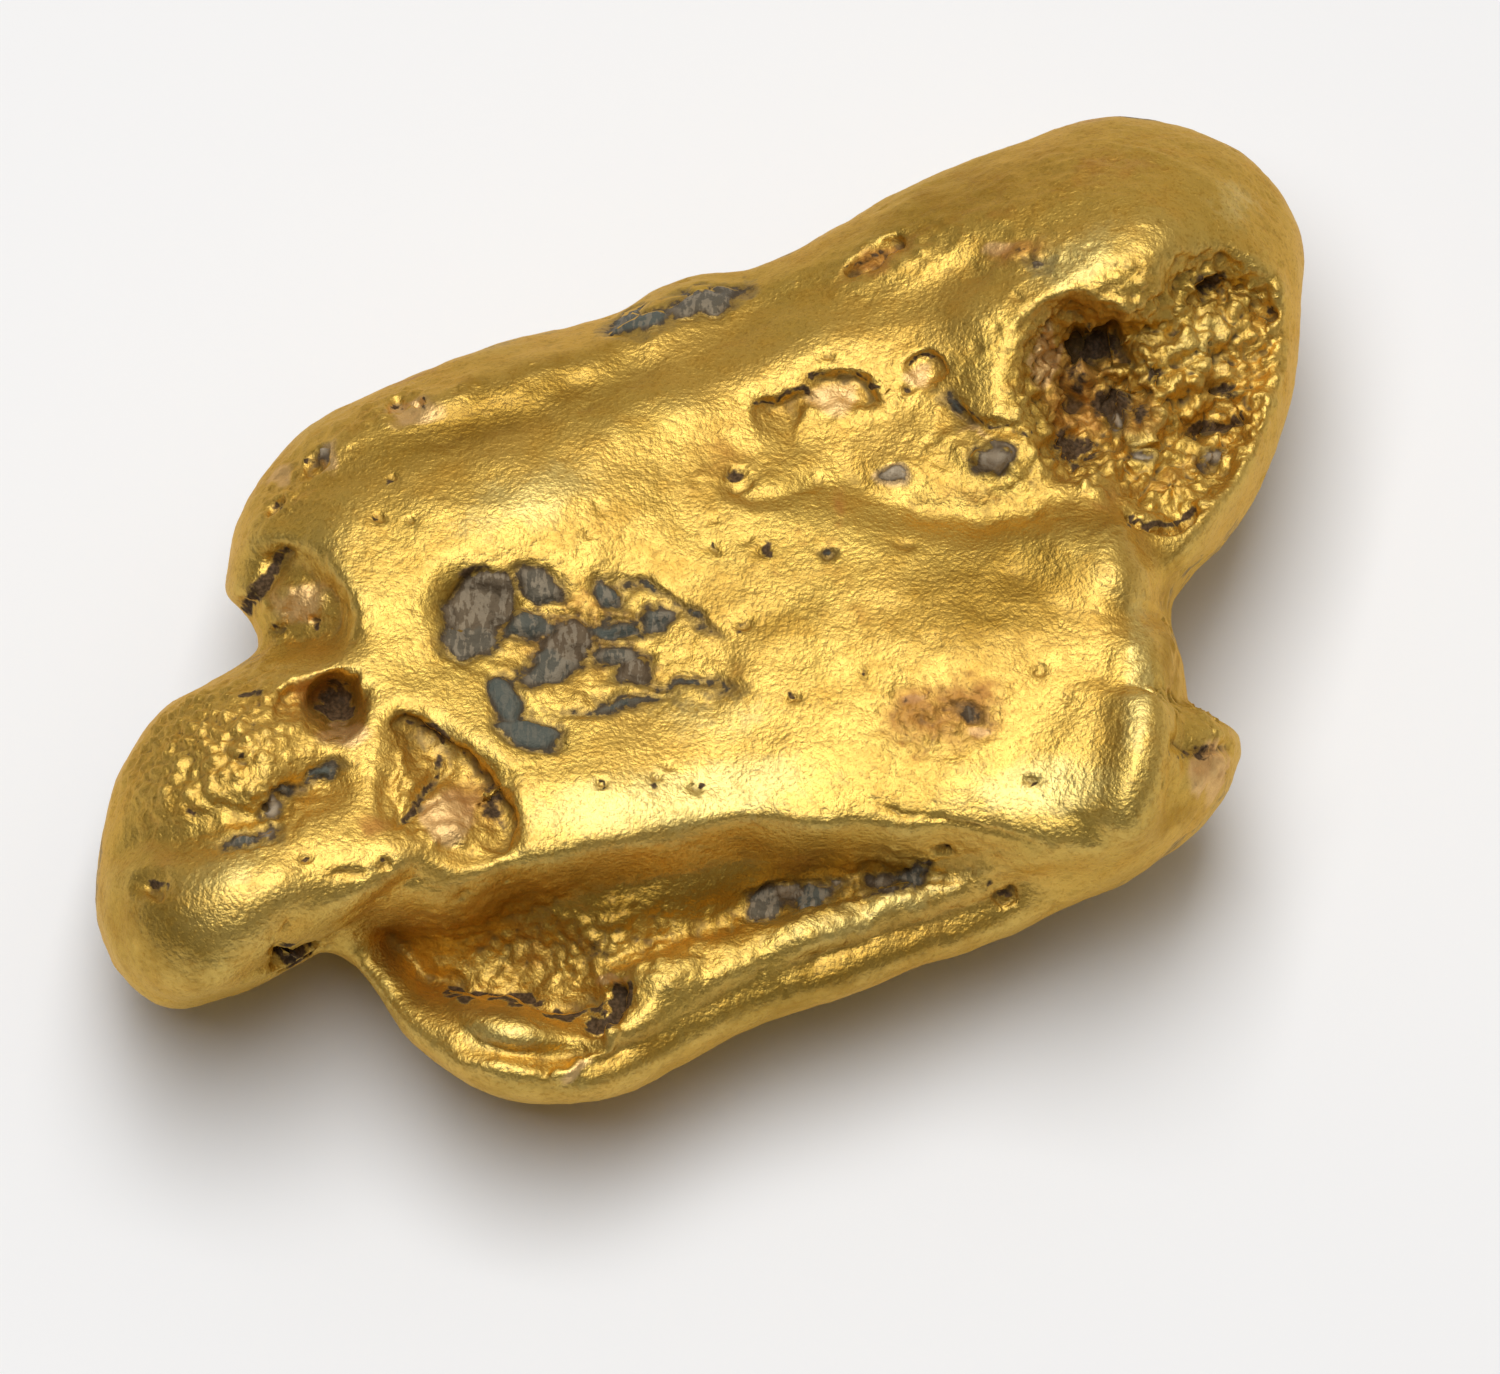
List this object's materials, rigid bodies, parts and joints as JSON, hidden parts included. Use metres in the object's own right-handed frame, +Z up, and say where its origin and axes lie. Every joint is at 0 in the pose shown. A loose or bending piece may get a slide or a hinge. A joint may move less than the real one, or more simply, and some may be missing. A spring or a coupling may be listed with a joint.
{
  "type": "gold nugget",
  "caption": "Natural water-worn nugget of native gold with rolled edges, a crystalline hollow and small pits, lying flat as a specimen, prop or gold-pan find.",
  "frame": {"origin": "on the ground under the middle of the nugget's bounding box", "axes": "+Z up, out of the broad face; +X along the nugget's longest side, to the right in the picture; +Y away from the viewer, towards the far edge"},
  "size_m": [0.0302, 0.028, 0.0102],
  "materials": {
    "native_gold": "satin, water-worn natural gold with brown and grey mineral stains in its pits"
  },
  "bodies": {
    "root": {"nugget": "native_gold"}
  },
  "joints": []
}
